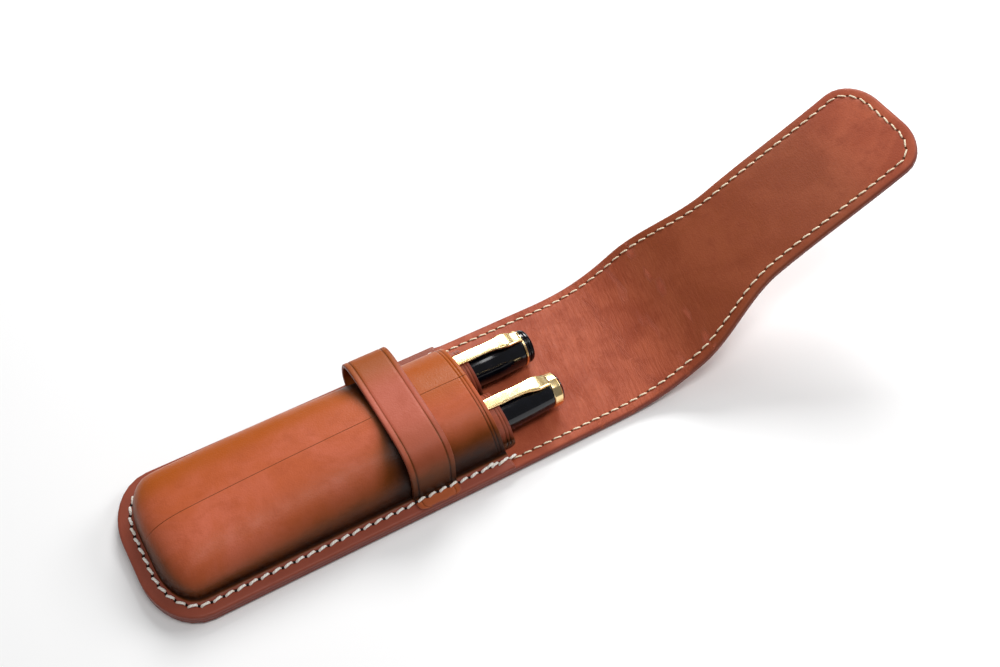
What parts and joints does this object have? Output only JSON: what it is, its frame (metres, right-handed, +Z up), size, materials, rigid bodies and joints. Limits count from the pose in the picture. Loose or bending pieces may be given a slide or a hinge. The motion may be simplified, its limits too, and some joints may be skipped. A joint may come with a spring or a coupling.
{
  "type": "fountain pen case",
  "caption": "Moulded leather case lying open, with a pouch and inner sleeve holding capped pens, a closing band and a long stitched flap that folds over into a tongue.",
  "frame": {"origin": "on the underside of the back, below the middle of the pouch", "axes": "+X along the case from the closed end of the pouch to the tip of the flap, +Z up off the surface it rests on, +Y towards the far pen"},
  "size_m": [0.2895, 0.058, 0.0655],
  "materials": {
    "outer_leather": "smooth waxed vegetable-tanned leather with burnished edges",
    "lining_leather": "smooth reddish-brown leather with fine cross wrinkles",
    "moulded_leather": "wet-moulded leather, burnished, tan to dark brown",
    "band_leather": "smooth leather with a crease line along each edge",
    "heavy_thread": "waxed cream thread, slanted hand stitches",
    "fine_thread": "waxed cream thread, machine stitches",
    "black_lacquer": "polished black resin",
    "gold_plate": "polished gold plate",
    "smoked_plastic": "smoked plastic"
  },
  "bodies": {
    "case": {"back_outer_pouch": "outer_leather", "back_lining_pouch": "lining_leather", "pouch_front": "moulded_leather", "pen_sleeve": "moulded_leather", "closing_band": "band_leather", "pouch_thread": "heavy_thread", "flap_thread_near_0": "fine_thread", "flap_thread_far_0": "fine_thread"},
    "flap_1": {"back_outer_fold_1": "outer_leather", "back_lining_fold_1": "lining_leather", "flap_thread_near_1": "fine_thread", "flap_thread_far_1": "fine_thread"},
    "flap_2": {"back_outer_fold_2": "outer_leather", "back_lining_fold_2": "lining_leather", "flap_thread_near_2": "fine_thread", "flap_thread_far_2": "fine_thread"},
    "flap_3": {"back_outer_fold_3": "outer_leather", "back_lining_fold_3": "lining_leather", "flap_thread_near_3": "fine_thread", "flap_thread_far_3": "fine_thread"},
    "tongue": {"back_outer_tongue": "outer_leather", "back_lining_tongue": "lining_leather", "tongue_thread": "fine_thread"},
    "near_pen": {"near_pen_finial": "black_lacquer", "near_pen_crown_ring": "gold_plate", "near_pen_clip": "gold_plate", "near_pen_cap": "black_lacquer", "near_pen_cap_band": "gold_plate", "near_pen_barrel": "black_lacquer", "near_pen_end_knob": "black_lacquer", "near_pen_grip": "black_lacquer", "near_pen_feed": "black_lacquer", "near_pen_nib": "gold_plate", "near_pen_converter": "smoked_plastic"},
    "far_pen": {"far_pen_finial": "black_lacquer", "far_pen_crown_ring": "gold_plate", "far_pen_clip": "gold_plate", "far_pen_cap": "black_lacquer", "far_pen_cap_band": "gold_plate", "far_pen_barrel": "black_lacquer", "far_pen_end_knob": "black_lacquer", "far_pen_grip": "black_lacquer", "far_pen_feed": "black_lacquer", "far_pen_nib": "gold_plate", "far_pen_converter": "smoked_plastic"}
  },
  "joints": [
    {"name": "flap_fold_1", "type": "hinge", "parent": "case", "child": "flap_1", "pos_m": [0.1026, 0, 0.00302], "axis": [0, -1, 0], "range_deg": [-6.5, 37.5], "stiffness_Nm_per_rad": 0.5},
    {"name": "flap_fold_2", "type": "hinge", "parent": "flap_1", "child": "flap_2", "pos_m": [0.11454, 0, 0.00405], "axis": [0, -1, 0], "range_deg": [-6.5, 37.5], "stiffness_Nm_per_rad": 0.5},
    {"name": "flap_fold_3", "type": "hinge", "parent": "flap_2", "child": "flap_3", "pos_m": [0.12597, 0, 0.00762], "axis": [0, -1, 0], "range_deg": [-6.5, 37.5], "stiffness_Nm_per_rad": 0.5},
    {"name": "flap_fold_4", "type": "hinge", "parent": "flap_3", "child": "tongue", "pos_m": [0.13637, 0, 0.01357], "axis": [0, -1, 0], "range_deg": [-6.5, 37.5], "stiffness_Nm_per_rad": 0.5},
    {"name": "near_pen_slide", "type": "slide", "parent": "case", "child": "near_pen", "axis": [1, 0, 0], "range_m": [0, 0.008]},
    {"name": "far_pen_slide", "type": "slide", "parent": "case", "child": "far_pen", "axis": [1, 0, 0], "range_m": [0, 0.008]}
  ]
}
